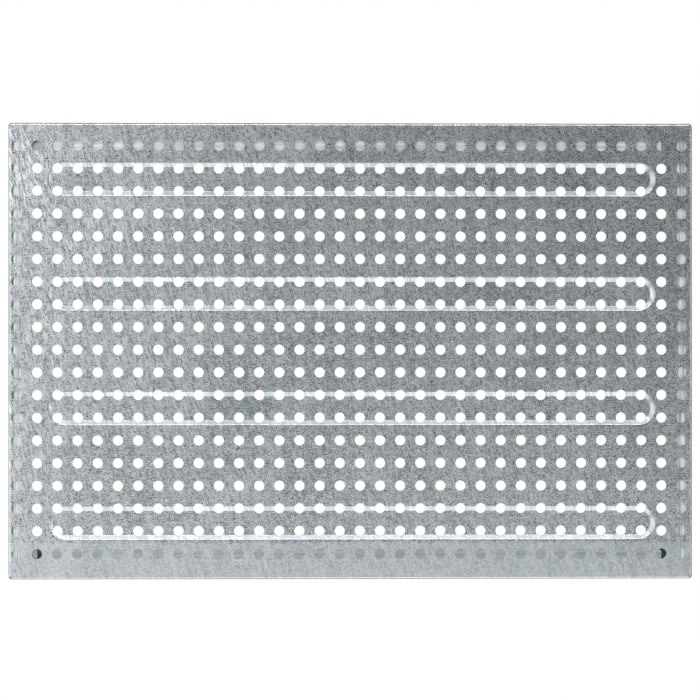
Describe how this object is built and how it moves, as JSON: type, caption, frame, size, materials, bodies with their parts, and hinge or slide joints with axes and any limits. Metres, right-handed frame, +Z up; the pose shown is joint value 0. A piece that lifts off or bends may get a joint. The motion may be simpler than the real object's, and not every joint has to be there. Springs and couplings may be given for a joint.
{
  "type": "scaffold plank",
  "caption": "Short perforated steel scaffold deck with recessed stiffening swages and folded skirts, welded over a frame of channel rails.",
  "frame": {"origin": "middle of the deck on the plane that the rails' lower flanges rest on", "axes": "+X along the deck's longer side, +Y across it to the rear, +Z up to the walking surface"},
  "size_m": [0.6, 0.4, 0.03],
  "materials": {
    "deck_zinc": "galvanised, satin, lightly scratched",
    "rail_zinc": "galvanised, satin, rolled grain",
    "gusset_zinc": "galvanised, dull",
    "weld_bead": "as-welded, heat darkened",
    "ground_weld": "ground, coarse"
  },
  "bodies": {
    "root": {"deck_sheet": "deck_zinc", "front_side_rail": "rail_zinc", "rear_side_rail": "rail_zinc", "left_end_rail": "rail_zinc", "right_end_rail": "rail_zinc", "front_left_gusset": "gusset_zinc", "front_left_gusset_welds": "weld_bead", "front_left_corner_weld": "ground_weld", "front_right_gusset": "gusset_zinc", "front_right_gusset_welds": "weld_bead", "front_right_corner_weld": "ground_weld", "rear_left_gusset": "gusset_zinc", "rear_left_gusset_welds": "weld_bead", "rear_left_corner_weld": "ground_weld", "rear_right_gusset": "gusset_zinc", "rear_right_gusset_welds": "weld_bead", "rear_right_corner_weld": "ground_weld", "front_stitch_welds": "weld_bead", "rear_stitch_welds": "weld_bead", "left_stitch_welds": "weld_bead", "right_stitch_welds": "weld_bead"}
  },
  "joints": []
}
